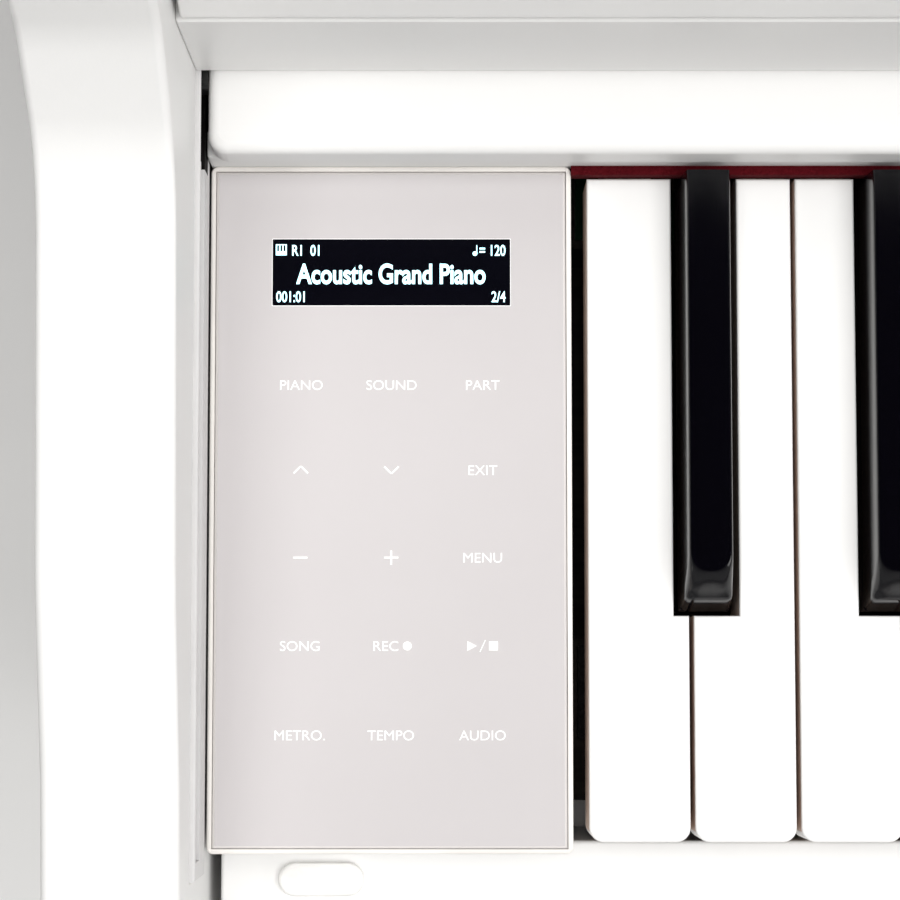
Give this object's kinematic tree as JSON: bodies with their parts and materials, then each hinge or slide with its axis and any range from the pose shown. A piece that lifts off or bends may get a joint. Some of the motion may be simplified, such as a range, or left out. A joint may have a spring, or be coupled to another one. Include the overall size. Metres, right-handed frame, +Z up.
{
  "type": "digital piano on stand",
  "caption": "White cabinet digital piano with wooden-stick keys, sliding key cover, touch panel, folding music rest, front legs, kick board and pedals.",
  "frame": {"origin": "centre of the footprint on the floor", "axes": "+Z up, -Y towards the player, +X towards the treble end"},
  "size_m": [1.45, 0.47, 1.1401],
  "materials": {
    "cabinet_white": "satin white paint over wood board",
    "key_white": "matt white key covers on wooden sticks",
    "key_black": "matt black key covers on wooden sticks",
    "cream_trim": "smooth cream",
    "panel_glass": "gloss, painted pale grey from behind",
    "display_dark": "gloss black",
    "circuit_green": "coated board",
    "felt_red": "woven felt",
    "action_felt": "pressed felt",
    "action_wood": "unfinished",
    "steel": "plated",
    "weight_iron": "dull",
    "pedal_brass": "polished",
    "white_rubber": "matt",
    "grey_rubber": "matt",
    "white_plastic": "satin",
    "black_plastic": "satin",
    "grille_cloth": "woven"
  },
  "bodies": {
    "cabinet": {"back_panel": "cabinet_white", "balance_rod": "steel", "cheek_blocks": "cabinet_white", "display_module": "display_dark", "fall_strip": "cabinet_white", "fascia": "cabinet_white", "feet": "cabinet_white", "front_legs": "cabinet_white", "glides": "grey_rubber", "guide_rails": "cream_trim", "hammers": "weight_iron", "headphone_box": "black_plastic", "height_adjuster": "grey_rubber", "jack_panel": "steel", "key_bed": "cabinet_white", "key_felt": "felt_red", "key_frame": "action_wood", "key_sensor_board": "circuit_green", "key_slip": "cabinet_white", "kick_board": "cabinet_white", "left_side_panel": "cabinet_white", "main_board": "circuit_green", "panel_bezels": "cream_trim", "pedal_axle": "steel", "pedal_box": "cabinet_white", "pedal_springs": "steel", "power_supply": "steel", "rail_felts": "action_felt", "rest_hinges": "steel", "right_panel_plate": "panel_glass", "right_side_panel": "cabinet_white", "slip_bumpers": "white_rubber", "top_lid": "cabinet_white", "touch_glass": "panel_glass", "touch_sensor_board": "circuit_green", "upper_panel": "cabinet_white", "woofer_grilles": "grille_cloth", "woofers": "black_plastic"},
    "cover": {"key_cover": "cabinet_white", "cover_gliders": "white_plastic"},
    "cover_shaft": {"cover_roller_shaft": "steel"},
    "music_rest": {"music_rest": "cabinet_white", "rest_ledge": "cabinet_white", "rest_fittings": "steel"},
    "rest_stays": {"rest_stays": "steel"},
    "soft_pedal": {"soft_pedal": "pedal_brass"},
    "middle_pedal": {"middle_pedal": "pedal_brass"},
    "damper_pedal": {"damper_pedal": "pedal_brass"},
    "power_button": {"power_button": "white_plastic"},
    "volume_knob": {"volume_knob": "white_plastic"},
    "white_keys": {"white_keys": "key_white"},
    "black_keys": {"black_keys": "key_black"},
    "key_A0": {"key_A0": "key_white"},
    "key_A0_sharp": {"key_A0_sharp": "key_black"},
    "key_B0": {"key_B0": "key_white"},
    "key_C1": {"key_C1": "key_white"},
    "key_C1_sharp": {"key_C1_sharp": "key_black"},
    "key_D1": {"key_D1": "key_white"},
    "key_D1_sharp": {"key_D1_sharp": "key_black"},
    "key_E1": {"key_E1": "key_white"}
  },
  "joints": [
    {"name": "key_A0_rock", "type": "hinge", "parent": "cabinet", "child": "key_A0", "pos_m": [0, 0.014, 0.713], "axis": [1, 0, 0], "range_deg": [0, 2.6], "stiffness_Nm_per_rad": 1, "springref_deg": -11.46},
    {"name": "key_A0_sharp_rock", "type": "hinge", "parent": "cabinet", "child": "key_A0_sharp", "pos_m": [0, 0.014, 0.713], "axis": [1, 0, 0], "range_deg": [0, 2.6], "stiffness_Nm_per_rad": 1, "springref_deg": -11.46},
    {"name": "key_B0_rock", "type": "hinge", "parent": "cabinet", "child": "key_B0", "pos_m": [0, 0.014, 0.713], "axis": [1, 0, 0], "range_deg": [0, 2.6], "stiffness_Nm_per_rad": 1, "springref_deg": -11.46},
    {"name": "key_C1_rock", "type": "hinge", "parent": "cabinet", "child": "key_C1", "pos_m": [0, 0.014, 0.713], "axis": [1, 0, 0], "range_deg": [0, 2.6], "stiffness_Nm_per_rad": 1, "springref_deg": -11.46},
    {"name": "key_C1_sharp_rock", "type": "hinge", "parent": "cabinet", "child": "key_C1_sharp", "pos_m": [0, 0.014, 0.713], "axis": [1, 0, 0], "range_deg": [0, 2.6], "stiffness_Nm_per_rad": 1, "springref_deg": -11.46},
    {"name": "key_D1_rock", "type": "hinge", "parent": "cabinet", "child": "key_D1", "pos_m": [0, 0.014, 0.713], "axis": [1, 0, 0], "range_deg": [0, 2.6], "stiffness_Nm_per_rad": 1, "springref_deg": -11.46},
    {"name": "key_D1_sharp_rock", "type": "hinge", "parent": "cabinet", "child": "key_D1_sharp", "pos_m": [0, 0.014, 0.713], "axis": [1, 0, 0], "range_deg": [0, 2.6], "stiffness_Nm_per_rad": 1, "springref_deg": -11.46},
    {"name": "key_E1_rock", "type": "hinge", "parent": "cabinet", "child": "key_E1", "pos_m": [0, 0.014, 0.713], "axis": [1, 0, 0], "range_deg": [0, 2.6], "stiffness_Nm_per_rad": 1, "springref_deg": -11.46},
    {"name": "white_keys_rock", "type": "hinge", "parent": "cabinet", "child": "white_keys", "pos_m": [0, 0.014, 0.713], "axis": [1, 0, 0], "range_deg": [0, 2.6], "stiffness_Nm_per_rad": 47, "springref_deg": -11.46},
    {"name": "black_keys_rock", "type": "hinge", "parent": "cabinet", "child": "black_keys", "pos_m": [0, 0.014, 0.713], "axis": [1, 0, 0], "range_deg": [0, 2.6], "stiffness_Nm_per_rad": 33, "springref_deg": -11.46},
    {"name": "cover_slide", "type": "slide", "parent": "cabinet", "child": "cover", "axis": [0, -1, 0], "range_m": [0, 0.166]},
    {"name": "cover_roll", "type": "hinge", "parent": "cover", "child": "cover_shaft", "pos_m": [0, 0.134, 0.76425], "axis": [1, 0, 0], "continuous": true},
    {"name": "rest_fold", "type": "hinge", "parent": "cabinet", "child": "music_rest", "pos_m": [0, 0.002, 0.933], "axis": [1, 0, 0], "range_deg": [-70, 0]},
    {"name": "stay_fold", "type": "hinge", "parent": "music_rest", "child": "rest_stays", "pos_m": [0, 0.0362, 1.02697], "axis": [1, 0, 0], "range_deg": [0, 140]},
    {"name": "soft_pedal_press", "type": "hinge", "parent": "cabinet", "child": "soft_pedal", "pos_m": [0, 0.118, 0.078], "axis": [1, 0, 0], "range_deg": [0, 7], "stiffness_Nm_per_rad": 10, "springref_deg": -8.59},
    {"name": "middle_pedal_press", "type": "hinge", "parent": "cabinet", "child": "middle_pedal", "pos_m": [0, 0.118, 0.078], "axis": [1, 0, 0], "range_deg": [0, 7], "stiffness_Nm_per_rad": 10, "springref_deg": -8.59},
    {"name": "damper_pedal_press", "type": "hinge", "parent": "cabinet", "child": "damper_pedal", "pos_m": [0, 0.118, 0.078], "axis": [1, 0, 0], "range_deg": [0, 7], "stiffness_Nm_per_rad": 10, "springref_deg": -8.59},
    {"name": "power_press", "type": "slide", "parent": "cabinet", "child": "power_button", "axis": [0, 0, -1], "range_m": [0, 0.0018], "stiffness_N_per_m": 800, "springref_m": -0.001},
    {"name": "volume_slide", "type": "slide", "parent": "cabinet", "child": "volume_knob", "axis": [0, 1, 0], "range_m": [-0.02, 0.02]}
  ],
  "couplings": [
    {"joint": "cover_roll", "follows": "cover_slide", "rad_per_m": 238.09},
    {"joint": "stay_fold", "follows": "rest_fold", "ratio": -2}
  ]
}
